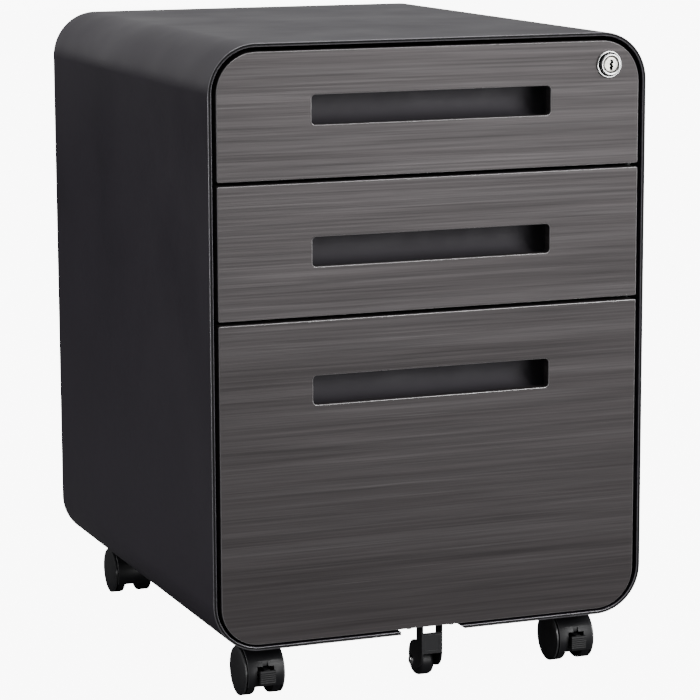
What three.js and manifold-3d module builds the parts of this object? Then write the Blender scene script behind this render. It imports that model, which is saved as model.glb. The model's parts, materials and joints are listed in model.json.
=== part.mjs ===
// Three-drawer mobile filing pedestal: a wrapped sheet-steel shell on four twin-wheel casters, two box
// drawers and a file drawer on ball slides, a cam lock with a locking bar, and an anti-tip wheel under
// the file drawer. Millimetres, +Z up, the drawers open towards -Y, the floor is z = 0.

import * as THREE from "three";
import { mergeVertices } from "three/addons/utils/BufferGeometryUtils.js";
import Module from "manifold-3d";

const wasm = await Module();
wasm.setup();

// ---------------------------------------------------------------- driving dimensions

const CABINET_W = 390;
const SHELL_H = 502;
const SHELL_D = 450;
const CASTER_H = 48; // floor to the underside of the shell
const CORNER_R = 41;
const SHEET = 1;
const GAP = 0.3; // clearance between pieces that bear on each other
const RIM_W = 3; // hemmed front edge of the shell
const RIM_D = 10;

const FRONT_W = 376;
const FRONT_R = 34; // outer corners of the top and file drawer fronts
const FRONT_DEPTH = 16; // depth of a front's folded edges
const FRONT_GAP = 3.5; // between one front and the next
const FILE_FRONT_BOTTOM = 5; // above the underside of the shell
const FILE_FRONT_H = 269;
const MIDDLE_FRONT_H = 110;
const TOP_FRONT_H = 104;

const SLOT_W = 213;
const SLOT_H = 24.5;
const SLOT_R = 3.5;
const COLLAR_D = 9; // how far the slot's edge is turned in
const POCKET_D = 30;
const POCKET_SIDE = 9; // how far the pocket runs past the slot at each end
const POCKET_RISE = 9; // finger room above the slot

const BOX_W = 348.8;
const BOX_L = 388;

const SLIDE_WEB_X = 187.4;
const SLIDE_START = 32; // behind the front plane

const WHEEL_R = 21;
const WHEEL_STEPS = 28;
const WHEEL_IN = 7.5; // inner face of a caster wheel from the caster's middle
const WHEEL_OUT = 18.5;
const CASTER_X = 143.5;
const CASTER_SETBACK = 40; // wheel axle from the shell's front or back plane
const TRAIL = 14; // swivel axis to wheel axle

const LOCK_X = 160;
const LOCK_Z = 475; // above the underside of the shell
const LOCK_PROUD = 5;
const LOCK_LIFT = 8; // rise of the locking bar over a quarter turn

const BRACKET_X = 2.5;
const ANTI_TIP_SETBACK = 32;
const ANTI_TIP_Z = 16;
const ANTI_TIP_R = 13.5;

// ---------------------------------------------------------------- derived places

const FRONT_Y = -(SHELL_D - LOCK_PROUD) / 2;
const BACK_Y = FRONT_Y + SHELL_D;
const HALF_W = CABINET_W / 2;
const BOX_FRONT_Y = FRONT_Y + FRONT_DEPTH + GAP;
const BOX_BACK_Y = BOX_FRONT_Y + BOX_L;
const fromFront = (setback) => FRONT_Y + setback;
const aboveShellBase = (height) => CASTER_H + height;

const MIDDLE_FRONT_BOTTOM = FILE_FRONT_BOTTOM + FILE_FRONT_H + FRONT_GAP;
const TOP_FRONT_BOTTOM = MIDDLE_FRONT_BOTTOM + MIDDLE_FRONT_H + FRONT_GAP;

// slotDrop: top of the front to the middle of its slot. box*: the tray behind the front.
const DRAWERS = {
  top: {
    bottom: TOP_FRONT_BOTTOM, height: TOP_FRONT_H, radii: [1.5, FRONT_R], slotDrop: 48.3,
    boxBottom: 399, boxHeight: 72, slideZ: 430, slideHalf: 17.5, catchZ: 402,
  },
  middle: {
    bottom: MIDDLE_FRONT_BOTTOM, height: MIDDLE_FRONT_H, radii: [1.5, 1.5], slotDrop: 56.8,
    boxBottom: 285, boxHeight: 78, slideZ: 320, slideHalf: 17.5, catchZ: 288,
  },
  file: {
    bottom: FILE_FRONT_BOTTOM, height: FILE_FRONT_H, radii: [FRONT_R, 1.5], slotDrop: 58.2,
    boxBottom: 16, boxHeight: 238, slideZ: 150, slideHalf: 22.5, catchZ: 100,
  },
};

// ---------------------------------------------------------------- materials

function finish(color, roughness, metalness) {
  return () => new THREE.MeshStandardMaterial({ color, roughness, metalness });
}
const shellPaint = finish(0x2e2f33, 0.55, 0.2);
const frontFilm = finish(0x514d4f, 0.42, 0.35);
const innerPaint = finish(0x2b2b2e, 0.6, 0.2);
const zincSteel = finish(0xa9adb0, 0.35, 0.9);
const chrome = finish(0xd9dadc, 0.12, 1.0);
const blackPlastic = finish(0x1d1d1f, 0.5, 0.0);
const greyPlastic = finish(0x3a3a3d, 0.6, 0.0);

// ---------------------------------------------------------------- geometry helpers

function toSolid(geometry) {
  const bare = geometry.clone();
  bare.deleteAttribute("normal");
  bare.deleteAttribute("uv");
  const merged = mergeVertices(bare);
  return new wasm.Manifold(new wasm.Mesh({
    numProp: 3,
    vertProperties: new Float32Array(merged.attributes.position.array),
    triVerts: new Uint32Array(merged.index.array),
  }));
}

function toGeometry(solid) {
  const mesh = solid.getMesh();
  const geometry = new THREE.BufferGeometry();
  geometry.setAttribute("position", new THREE.BufferAttribute(new Float32Array(mesh.vertProperties), 3));
  geometry.setIndex(new THREE.BufferAttribute(new Uint32Array(mesh.triVerts), 1));
  geometry.computeVertexNormals();
  return geometry;
}

function join(...geometries) {
  return toGeometry(geometries.map(toSolid).reduce((sum, solid) => sum.add(solid)));
}

function cut(geometry, ...tools) {
  return toGeometry(tools.map(toSolid).reduce((rest, tool) => rest.subtract(tool), toSolid(geometry)));
}

function box([x0, x1], [y0, y1], [z0, z1]) {
  const geometry = new THREE.BoxGeometry(x1 - x0, y1 - y0, z1 - z0);
  return geometry.translate((x0 + x1) / 2, (y0 + y1) / 2, (z0 + z1) / 2);
}

// A closed loop round a rectangle. radii: bottom pair and top pair of corners.
function roundedLoop(x0, x1, z0, z1, [bottomR, topR]) {
  const corners = [
    [x1, z0, bottomR, -90],
    [x1, z1, topR, 0],
    [x0, z1, topR, 90],
    [x0, z0, bottomR, 180],
  ];
  const middleX = (x0 + x1) / 2;
  const middleZ = (z0 + z1) / 2;
  const points = [];
  for (const [x, z, r, start] of corners) {
    const steps = r > 10 ? 10 : 3;
    const centreX = x - Math.sign(x - middleX) * r;
    const centreZ = z - Math.sign(z - middleZ) * r;
    for (let i = 0; i <= steps; i += 1) {
      const angle = THREE.MathUtils.degToRad(start + (90 * i) / steps);
      points.push(new THREE.Vector2(centreX + r * Math.cos(angle), centreZ + r * Math.sin(angle)));
    }
  }
  return points;
}

function extrude(outline, depth, hole) {
  const shape = new THREE.Shape(outline);
  if (hole) {
    shape.holes.push(new THREE.Path(hole));
  }
  return new THREE.ExtrudeGeometry(shape, { depth, bevelEnabled: false, steps: 1 });
}

// Outline in X and Z, swept from y0 to y1.
function alongY(outline, y0, y1, hole) {
  return extrude(outline, y1 - y0, hole).rotateX(Math.PI / 2).translate(0, y1, 0);
}

// Outline in Y and Z, swept from x0 to x1.
function alongX(outline, x0, x1) {
  const turn = new THREE.Matrix4().makeBasis(
    new THREE.Vector3(0, 1, 0),
    new THREE.Vector3(0, 0, 1),
    new THREE.Vector3(1, 0, 0),
  );
  return extrude(outline, x1 - x0).applyMatrix4(turn).translate(x0, 0, 0);
}

function points(...pairs) {
  return pairs.map(([a, b]) => new THREE.Vector2(a, b));
}

// Upright round bar.
function post(radius, x, y, [z0, z1], steps = 16) {
  const geometry = new THREE.CylinderGeometry(radius, radius, z1 - z0, steps);
  return geometry.rotateX(Math.PI / 2).translate(x, y, (z0 + z1) / 2);
}

// Turned piece about the X axis; profile pairs are radius and x.
function turnedAboutX(profile, steps) {
  const geometry = new THREE.LatheGeometry(points(...profile), steps, Math.PI / steps);
  return geometry.rotateZ(-Math.PI / 2);
}

// Turned piece about the Y axis through (x, z); profile pairs are radius and y.
function turnedAboutY(profile, steps, x, z) {
  return new THREE.LatheGeometry(points(...profile), steps).translate(x, 0, z);
}

const cabinet = new THREE.Group();

function piece(name, geometry, material, parent = cabinet) {
  const mesh = new THREE.Mesh(geometry, material());
  mesh.name = name;
  parent.add(mesh);
  return mesh;
}

// ---------------------------------------------------------------- shell, back and base

function shellLoop(inset) {
  const radius = CORNER_R - inset;
  return roundedLoop(
    -HALF_W + inset, HALF_W - inset,
    aboveShellBase(inset), aboveShellBase(SHELL_H - inset),
    [radius, radius],
  );
}

const STEM_HOLE_R = 4.6;
const swivelY = (end) => (end === "front"
  ? FRONT_Y + CASTER_SETBACK + TRAIL
  : BACK_Y - CASTER_SETBACK - TRAIL);

function stemHoles(zRange) {
  const holes = [];
  for (const end of ["front", "rear"]) {
    for (const side of [-1, 1]) {
      holes.push(post(STEM_HOLE_R, side * CASTER_X, swivelY(end), zRange, 12));
    }
  }
  return holes;
}

function makeShell() {
  const wrap = alongY(shellLoop(0), FRONT_Y, BACK_Y, shellLoop(SHEET));
  const rim = alongY(shellLoop(0), FRONT_Y, FRONT_Y + RIM_D, shellLoop(RIM_W));
  // Open notch in the front of the base that the anti-tip bracket slides out through.
  const notch = alongY(
    points([-28.4, 47], [31, 47], [30, 48], [25.5, 51.2], [25.5, 54], [-28.4, 54]),
    fromFront(-1), fromFront(30),
  );
  return cut(join(wrap, rim), notch, ...stemHoles([47, 50]));
}
piece("shell_wrap", makeShell(), shellPaint);

function makeBackPanel() {
  const inset = SHEET + GAP;
  const block = alongY(shellLoop(inset), BACK_Y - 14, BACK_Y - 1);
  const hollow = alongY(shellLoop(inset + SHEET), BACK_Y - 15, BACK_Y - 2);
  return cut(block, hollow);
}
piece("back_panel", makeBackPanel(), shellPaint);

const BASE_HALF_W = 153.5;
const BASE_FLANGE_H = 10;

function makeBasePan() {
  const z0 = aboveShellBase(SHEET + GAP);
  const y0 = fromFront(34);
  const y1 = fromFront(430);
  const block = box([-BASE_HALF_W, BASE_HALF_W], [y0, y1], [z0, z0 + BASE_FLANGE_H]);
  const hollow = box(
    [-BASE_HALF_W + SHEET, BASE_HALF_W - SHEET], [y0 + SHEET, y1 - SHEET],
    [z0 + SHEET, z0 + BASE_FLANGE_H + 1],
  );
  return cut(block, hollow, ...stemHoles([48, 53]));
}
piece("base_pan", makeBasePan(), innerPaint);

// ---------------------------------------------------------------- uprights and slides

const UPRIGHT_X = HALF_W - SHEET - GAP;
const UPRIGHT_T = UPRIGHT_X - SLIDE_WEB_X - GAP;
const UPRIGHT_W = 30;

// Hat-section post on a side wall that the slides are screwed to.
function makeUpright(side, y0) {
  const outer = side * UPRIGHT_X;
  const inner = side * (UPRIGHT_X - UPRIGHT_T);
  const web = side * (UPRIGHT_X - UPRIGHT_T + SHEET);
  const flange = side * (UPRIGHT_X - SHEET);
  const y1 = y0 + UPRIGHT_W;
  const section = points(
    [outer, y0], [outer, y0 + 8], [web, y0 + 8], [web, y1 - 8], [outer, y1 - 8], [outer, y1],
    [flange, y1], [flange, y1 - 7], [inner, y1 - 7], [inner, y0 + 7], [flange, y0 + 7], [flange, y0],
  );
  return extrude(section, 420).translate(0, 0, aboveShellBase(CORNER_R));
}

// Channel section with its web at webX and its flanges reaching to tipX.
function channel(webX, tipX, half, thickness) {
  const inner = webX + Math.sign(tipX - webX) * thickness;
  return points(
    [webX, -half], [webX, half], [tipX, half], [tipX, half - thickness],
    [inner, half - thickness], [inner, thickness - half], [tipX, thickness - half], [tipX, -half],
  );
}

// Cabinet-side, middle and drawer-side members, nested one inside the other.
function slideMember(kind, side, drawer) {
  const { slideZ, slideHalf } = drawer;
  const full = slideHalf > 20;
  const forms = {
    outer: [SLIDE_WEB_X, 177.9, slideHalf, 395],
    middle: [184.9, 177.2, slideHalf - 3.6, 385],
    inner: [174.7, full ? 182.2 : 184, slideHalf - (full ? 7.5 : 4.5), 375],
  };
  const [web, tip, half, length] = forms[kind];
  const section = channel(side * web, side * tip, half, 1.2);
  return alongY(section, fromFront(SLIDE_START), fromFront(SLIDE_START + length))
    .translate(0, 0, aboveShellBase(slideZ));
}

for (const [side, hand] of [[-1, "left"], [1, "right"]]) {
  piece(`upright_front_${hand}`, makeUpright(side, fromFront(40)), innerPaint);
  piece(`upright_rear_${hand}`, makeUpright(side, fromFront(385)), innerPaint);
  for (const [name, drawer] of Object.entries(DRAWERS)) {
    piece(`slide_outer_${name}_${hand}`, slideMember("outer", side, drawer), zincSteel);
    piece(`slide_inner_${name}_${hand}`, slideMember("inner", side, drawer), zincSteel);
  }
  piece(`slide_middle_file_${hand}`, slideMember("middle", side, DRAWERS.file), zincSteel);
}

// ---------------------------------------------------------------- drawers

function slotLoop(grow, centreZ) {
  const radius = SLOT_R + grow;
  return roundedLoop(
    -SLOT_W / 2 - grow, SLOT_W / 2 + grow,
    centreZ - SLOT_H / 2 - grow, centreZ + SLOT_H / 2 + grow,
    [radius, radius],
  );
}

function slotCentre(drawer) {
  return aboveShellBase(drawer.bottom + drawer.height - drawer.slotDrop);
}

const LOCK_BODY_R = 9.5;

// Folded front: a face sheet with its edges turned back and its slot's edge turned in.
function makeFront(name, drawer) {
  const z0 = aboveShellBase(drawer.bottom);
  const z1 = z0 + drawer.height;
  const half = FRONT_W / 2;
  const outline = roundedLoop(-half, half, z0, z1, drawer.radii);
  const inside = roundedLoop(
    -half + SHEET, half - SHEET, z0 + SHEET, z1 - SHEET,
    drawer.radii.map((radius) => radius - SHEET),
  );
  const centre = slotCentre(drawer);
  const pan = cut(
    alongY(outline, FRONT_Y, fromFront(FRONT_DEPTH)),
    alongY(inside, fromFront(SHEET), fromFront(FRONT_DEPTH + 1)),
  );
  const collar = alongY(slotLoop(SHEET, centre), fromFront(0.5), fromFront(COLLAR_D));
  const openings = [alongY(slotLoop(0, centre), fromFront(-1), fromFront(COLLAR_D + 1))];
  if (name === "top") {
    const lockHole = new THREE.CylinderGeometry(LOCK_BODY_R + GAP, LOCK_BODY_R + GAP, 6, 24);
    openings.push(lockHole.translate(LOCK_X, FRONT_Y, aboveShellBase(LOCK_Z)));
  }
  return cut(join(pan, collar), ...openings);
}

const POCKET_WALL = 1.2;

function pocketReach(drawer) {
  const centre = slotCentre(drawer);
  return {
    half: SLOT_W / 2 + POCKET_SIDE + POCKET_WALL,
    z0: centre - SLOT_H / 2 - SHEET - GAP - POCKET_WALL,
    z1: centre + SLOT_H / 2 + POCKET_RISE + POCKET_WALL,
    y1: fromFront(SHEET + GAP + POCKET_D),
  };
}

// Finger pocket behind the slot: a tray on its side, open to the front, with a bevelled lower back edge.
function makePocket(drawer) {
  const { half, z0, z1, y1 } = pocketReach(drawer);
  const y0 = fromFront(SHEET + GAP);
  const bevel = 9;
  const outer = points([y0, z0], [y1 - bevel, z0], [y1, z0 + bevel], [y1, z1], [y0, z1]);
  const inner = points(
    [y0 - 1, z0 + POCKET_WALL], [y1 - bevel, z0 + POCKET_WALL],
    [y1 - POCKET_WALL, z0 + bevel], [y1 - POCKET_WALL, z1 - POCKET_WALL], [y0 - 1, z1 - POCKET_WALL],
  );
  return cut(
    alongX(outer, -half, half),
    alongX(inner, -half + POCKET_WALL, half - POCKET_WALL),
  );
}

// Four-walled sheet tray with a window for the finger pocket and a catch tab for the locking bar.
function makeBox(name, drawer) {
  const half = BOX_W / 2;
  const z0 = aboveShellBase(drawer.boxBottom);
  const z1 = z0 + drawer.boxHeight;
  const block = box([-half, half], [BOX_FRONT_Y, BOX_BACK_Y], [z0, z1]);
  const hollow = box(
    [-half + SHEET, half - SHEET], [BOX_FRONT_Y + SHEET, BOX_BACK_Y - SHEET], [z0 + SHEET, z1 + 1],
  );
  const pocket = pocketReach(drawer);
  const window = box(
    [-pocket.half - GAP, pocket.half + GAP], [BOX_FRONT_Y - 1, BOX_FRONT_Y + SHEET + 1],
    [pocket.z0 - GAP, pocket.z1 + GAP],
  );
  const tools = [hollow, window];
  if (name === "top") {
    const room = aboveShellBase(LOCK_Z - 23);
    tools.push(box([LOCK_X - 16, half + 1], [BOX_FRONT_Y - 1, fromFront(SLIDE_START)], [room, z1 + 1]));
  }
  const catchZ = aboveShellBase(drawer.catchZ);
  const catchTab = box([half - 0.5, 184], [fromFront(25), fromFront(28)], [catchZ, catchZ + 6]);
  return join(cut(block, ...tools), catchTab);
}

for (const [name, drawer] of Object.entries(DRAWERS)) {
  piece(`drawer_front_${name}`, makeFront(name, drawer), frontFilm);
  piece(`drawer_box_${name}`, makeBox(name, drawer), innerPaint);
  piece(`finger_pocket_${name}`, makePocket(drawer), blackPlastic);
}

// Moulded pen tray that lies in the front of the top drawer: one long bay and two square ones.
function makePencilTray() {
  const z0 = aboveShellBase(DRAWERS.top.boxBottom + SHEET + GAP);
  const z1 = z0 + 24;
  const half = BOX_W / 2 - SHEET - 1;
  const y0 = fromFront(36);
  const y1 = fromFront(140);
  const wall = 1.6;
  const bays = [
    [[-half + wall, 60], [y0 + wall, y1 - wall]],
    [[60 + wall, half - wall], [y0 + wall, y0 + 52 - wall / 2]],
    [[60 + wall, half - wall], [y0 + 52 + wall / 2, y1 - wall]],
  ];
  return cut(
    box([-half, half], [y0, y1], [z0, z1]),
    ...bays.map(([xs, ys]) => box(xs, ys, [z0 + wall, z1 + 1])),
  );
}
piece("pencil_tray", makePencilTray(), greyPlastic);

// Front-to-back rail that hanging folders hook over, with a foot at each end.
function makeHangingRail(side) {
  const x = side * 155.5;
  const top = aboveShellBase(DRAWERS.file.boxBottom + DRAWERS.file.boxHeight);
  const y0 = BOX_FRONT_Y + SHEET + GAP;
  const y1 = BOX_BACK_Y - SHEET - GAP;
  const xs = (inner, outer) => [x + side * inner, x + side * outer].sort((a, b) => a - b);
  return join(
    box([x - 1, x + 1], [y0, y1], [top - 16, top - 2]),
    box(xs(-1, 13), [y0, y0 + 1.6], [top - 16, top - 2]),
    box(xs(-1, 13), [y1 - 1.6, y1], [top - 16, top - 2]),
  );
}
piece("hanging_rail_left", makeHangingRail(-1), zincSteel);
piece("hanging_rail_right", makeHangingRail(1), zincSteel);

// ---------------------------------------------------------------- anti-tip wheel

const BRACKET_HALF = 8.6;
const AXLE_R = 2.4;

function makeBracket() {
  const y = fromFront;
  const thickness = 1.8;
  const topZ = aboveShellBase(FILE_FRONT_BOTTOM) - GAP;
  const ear = points(
    [y(8), topZ], [y(8), 27], [y(17.5), 12], [y(26), 10.6], [y(33), 11.2], [y(37), 14.5],
    [y(38), 20], [y(36.5), 26], [y(32), 31.5], [y(26), 34.5], [y(20.7), 36], [y(20.7), topZ],
  );
  const left = BRACKET_X - BRACKET_HALF;
  const right = BRACKET_X + BRACKET_HALF;
  const parts = [
    alongX(ear, left, left + thickness),
    alongX(ear, right - thickness, right),
    box([left, right], [y(8), y(8 + thickness)], [26.2, 44.7]),
  ];
  for (const side of [-1, 1]) {
    const reach = [BRACKET_X + side * (BRACKET_HALF - 1), BRACKET_X + side * 23].sort((a, b) => a - b);
    parts.push(box(reach, [y(8), y(15.5)], [topZ - 1.2, topZ]));
    parts.push(post(2.4, BRACKET_X + side * 19.5, y(11.8), [topZ - 3, topZ - 0.6], 12));
  }
  const bore = turnedAboutX([[0, -20], [AXLE_R + 0.1, -20], [AXLE_R + 0.1, 20], [0, 20]], 16);
  bore.translate(BRACKET_X, y(ANTI_TIP_SETBACK), ANTI_TIP_Z);
  return cut(join(...parts), bore);
}
piece("anti_tip_bracket", makeBracket(), innerPaint);

function makeRivetAxle() {
  const end = BRACKET_HALF + GAP;
  const profile = [
    [0, -end - 1.6], [3, -end - 1.6], [4.2, -end], [AXLE_R, -end],
    [AXLE_R, end], [4.2, end], [3, end + 1.6], [0, end + 1.6],
  ];
  return turnedAboutX(profile, 16);
}
const rivetAxle = piece("anti_tip_axle", makeRivetAxle(), zincSteel);
rivetAxle.position.set(BRACKET_X, fromFront(ANTI_TIP_SETBACK), ANTI_TIP_Z);

function makeAntiTipWheel() {
  const half = 5.6;
  const bore = AXLE_R + 0.15;
  const profile = [
    [bore, -half], [ANTI_TIP_R - 3, -half], [ANTI_TIP_R, -half + 3.4],
    [ANTI_TIP_R, half - 3.4], [ANTI_TIP_R - 3, half], [bore, half], [bore, -half],
  ];
  return turnedAboutX(profile, WHEEL_STEPS);
}
const antiTipWheel = piece("anti_tip_wheel", makeAntiTipWheel(), blackPlastic);
antiTipWheel.position.set(BRACKET_X, fromFront(ANTI_TIP_SETBACK), ANTI_TIP_Z);

// ---------------------------------------------------------------- lock

const PLUG_R = 6.3;
const CAM_Y = fromFront(20);

function makeLockHousing() {
  const y = fromFront;
  const bore = PLUG_R + 0.2;
  const profile = [
    [bore, y(-LOCK_PROUD)], [8.6, y(-LOCK_PROUD)], [9.6, y(-LOCK_PROUD + 1)], [9.8, y(-1.6)],
    [11, y(-1.6)], [11.6, y(-1)], [11.6, y(-GAP)], [LOCK_BODY_R, y(-GAP)], [LOCK_BODY_R, y(14)],
    [bore, y(14)], [bore, y(-LOCK_PROUD)],
  ];
  return turnedAboutY(profile, 24, LOCK_X, aboveShellBase(LOCK_Z));
}
piece("lock_housing", makeLockHousing(), chrome);

const CAM_BORE_R = 3.2;

function makeLockPlug() {
  const y = fromFront;
  const tail = CAM_BORE_R - 0.2;
  const profile = [
    [0, y(-LOCK_PROUD + 0.6)], [PLUG_R - 0.5, y(-LOCK_PROUD + 0.6)], [PLUG_R, y(-LOCK_PROUD + 1.1)],
    [PLUG_R, y(16)], [tail, y(16)], [tail, CAM_Y + 4], [0, CAM_Y + 4],
  ];
  const z = aboveShellBase(LOCK_Z);
  const barrel = turnedAboutY(profile, 24, LOCK_X, z);
  const keyway = box([LOCK_X - 0.8, LOCK_X + 0.8], [y(-LOCK_PROUD - 1), y(4)], [z - 4, z + 3.4]);
  return cut(barrel, keyway);
}
piece("lock_plug", makeLockPlug(), chrome);

const CAM_HALF = 6;
const CAM_REACH = 20;

function makeLockCam() {
  const z = aboveShellBase(LOCK_Z);
  const outline = roundedLoop(LOCK_X - CAM_HALF, LOCK_X + CAM_HALF, z - CAM_REACH, z + CAM_HALF, [4, 4]);
  const bore = turnedAboutY(
    [[0, CAM_Y - 1], [CAM_BORE_R, CAM_Y - 1], [CAM_BORE_R, CAM_Y + 4], [0, CAM_Y + 4]], 16, LOCK_X, z,
  );
  return cut(alongY(outline, CAM_Y, CAM_Y + 2.5), bore);
}
piece("lock_cam", makeLockCam(), zincSteel);

// Upright bar beside the right-hand drawer boxes. The cam lifts its top arm, and each hook then stands in
// front of a drawer's catch tab.
function makeLockBar() {
  const ys = [fromFront(18), fromFront(24)];
  const z = aboveShellBase;
  const armBottom = LOCK_Z + CAM_HALF + 0.5 - LOCK_LIFT;
  const parts = [
    box([187.8, 189.8], ys, [z(85), z(454)]),
    box([182, 189.8], ys, [z(450), z(454)]),
    box([182, 184], ys, [z(450), z(armBottom + 3)]),
    box([171, 184], ys, [z(armBottom), z(armBottom + 3)]),
  ];
  for (const drawer of Object.values(DRAWERS)) {
    parts.push(box([177, 188.8], ys, [z(drawer.catchZ - 9), z(drawer.catchZ - 1)]));
  }
  return join(...parts);
}
piece("lock_bar", makeLockBar(), zincSteel);

// ---------------------------------------------------------------- casters

const AXLE_Z = WHEEL_R * Math.cos(Math.PI / WHEEL_STEPS);
const HOOD_R = 22.6;
const HOOD_INNER_R = 21.7;
const HOOD_REACH = 15.6; // half the width of the mudguard over both treads
const HOOD_HALF = 7.2;
const COLLAR_TOP = 46.5;
const STEM_R = 4;

// Local frame of a caster: the swivel axis is x = y = 0, the wheels stand on z = 0 at y = -TRAIL.
function makeHood(braked) {
  const drum = turnedAboutX([[0, -HOOD_HALF], [HOOD_R, -HOOD_HALF], [HOOD_R, HOOD_HALF], [0, HOOD_HALF]], 24);
  drum.translate(0, -TRAIL, AXLE_Z);
  const guard = turnedAboutX([
    [HOOD_INNER_R, -HOOD_REACH], [HOOD_R, -HOOD_REACH], [HOOD_R, HOOD_REACH],
    [HOOD_INNER_R, HOOD_REACH], [HOOD_INNER_R, -HOOD_REACH],
  ], 24);
  guard.translate(0, -TRAIL, AXLE_Z);
  const parts = [
    drum,
    guard,
    box([-HOOD_HALF, HOOD_HALF], [-TRAIL, HOOD_HALF], [16, 42]),
    post(HOOD_HALF, 0, 0, [16, COLLAR_TOP - 1], 12),
    post(11, 0, 0, [42.4, COLLAR_TOP], 16),
  ];
  const axle = turnedAboutX([[0, -16], [3, -16], [3, 16], [0, 16]], 12);
  axle.translate(0, -TRAIL, AXLE_Z);
  const tools = [
    box([-30, 30], [-60, 30], [-5, 11]),
    post(STEM_R + 0.25, 0, 0, [24, 60], 12),
  ];
  if (braked) {
    tools.push(box([-2.8, 2.8], [-TRAIL - 24, -TRAIL - 9], [14, 34]));
    tools.push(box([-7.4, 7.4], [-TRAIL - 24, -TRAIL - 20.6], [10, 28.2]));
  }
  return cut(join(...parts, axle), ...tools);
}

function makeStem() {
  return join(
    post(STEM_R - 0.1, 0, 0, [26, 60], 12),
    post(9, 0, 0, [COLLAR_TOP + GAP, CASTER_H - GAP], 12),
    post(6.6, 0, 0, [CASTER_H + 2 * SHEET + 2 * GAP, 57], 6),
  );
}

function makeCasterWheel() {
  const profile = [
    [0, 16.4], [3.4, 16.4], [3.4, WHEEL_IN], [WHEEL_R, WHEEL_IN],
    [WHEEL_R, WHEEL_OUT - 3.6], [WHEEL_R - 1, WHEEL_OUT - 1.4], [WHEEL_R - 2.6, WHEEL_OUT - 0.4],
    [WHEEL_R - 6, WHEEL_OUT], [0, WHEEL_OUT],
  ];
  return turnedAboutX(profile, WHEEL_STEPS);
}

// Foot tab on an arm that turns inside the hood and jams the wheels.
function makeBrakeLever() {
  const face = -TRAIL - 28;
  return join(
    box([-6.8, 6.8], [face, face + 3.6], [13, 26.7]),
    box([-2.3, 2.3], [face + 2, -TRAIL - 11], [21, 26.5]),
  );
}

for (const end of ["front", "rear"]) {
  for (const [side, hand] of [[-1, "left"], [1, "right"]]) {
    const caster = new THREE.Group();
    caster.position.set(side * CASTER_X, swivelY(end), 0);
    caster.rotation.z = end === "front" ? 0 : Math.PI;
    cabinet.add(caster);
    const label = `${end}_${hand}`;
    piece(`caster_stem_${label}`, makeStem(), zincSteel, caster);
    piece(`caster_hood_${label}`, makeHood(end === "front"), blackPlastic, caster);
    for (const [turn, place] of [[0, "a"], [Math.PI, "b"]]) {
      const wheel = piece(`caster_wheel_${label}_${place}`, makeCasterWheel(), blackPlastic, caster);
      wheel.position.set(0, -TRAIL, AXLE_Z);
      wheel.rotation.z = turn;
    }
    if (end === "front") {
      piece(`brake_lever_${hand}`, makeBrakeLever(), greyPlastic, caster);
    }
  }
}

export default cabinet;
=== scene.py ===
"""Looks of a mobile filing pedestal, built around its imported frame. Metres, +Z up, the drawers open towards -Y."""

import json
import math

import bmesh
import bpy
from mathutils import Matrix, Vector


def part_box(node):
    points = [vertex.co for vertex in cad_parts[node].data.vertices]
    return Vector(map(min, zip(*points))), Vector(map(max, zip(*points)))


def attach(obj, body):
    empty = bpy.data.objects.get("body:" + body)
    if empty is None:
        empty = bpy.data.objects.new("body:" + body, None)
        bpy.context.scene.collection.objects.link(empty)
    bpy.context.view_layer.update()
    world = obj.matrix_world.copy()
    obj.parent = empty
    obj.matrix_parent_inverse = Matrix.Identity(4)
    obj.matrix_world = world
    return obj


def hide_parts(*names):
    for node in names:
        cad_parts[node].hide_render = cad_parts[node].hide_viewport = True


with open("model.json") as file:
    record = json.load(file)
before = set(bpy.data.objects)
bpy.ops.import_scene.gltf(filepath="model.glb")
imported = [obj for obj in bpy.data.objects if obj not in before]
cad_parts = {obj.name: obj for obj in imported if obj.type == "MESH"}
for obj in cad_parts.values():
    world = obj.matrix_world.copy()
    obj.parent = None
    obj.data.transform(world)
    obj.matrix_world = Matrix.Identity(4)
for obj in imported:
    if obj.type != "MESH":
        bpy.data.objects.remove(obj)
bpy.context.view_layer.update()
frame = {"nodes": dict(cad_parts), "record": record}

MM = 0.001
HANDS = ("left", "right")
DRAWERS = ("top", "middle", "file")

# ---------------------------------------------------------------- places taken from the frame

SHELL_LOW, SHELL_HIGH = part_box("shell_wrap")
FRONT_Y = SHELL_LOW.y / MM
BACK_Y = SHELL_HIGH.y / MM
HALF_W = SHELL_HIGH.x / MM
SHELL_Z0 = SHELL_LOW.z / MM
SHELL_Z1 = SHELL_HIGH.z / MM
CORNER_R = 41.0

# ---------------------------------------------------------------- materials

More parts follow.
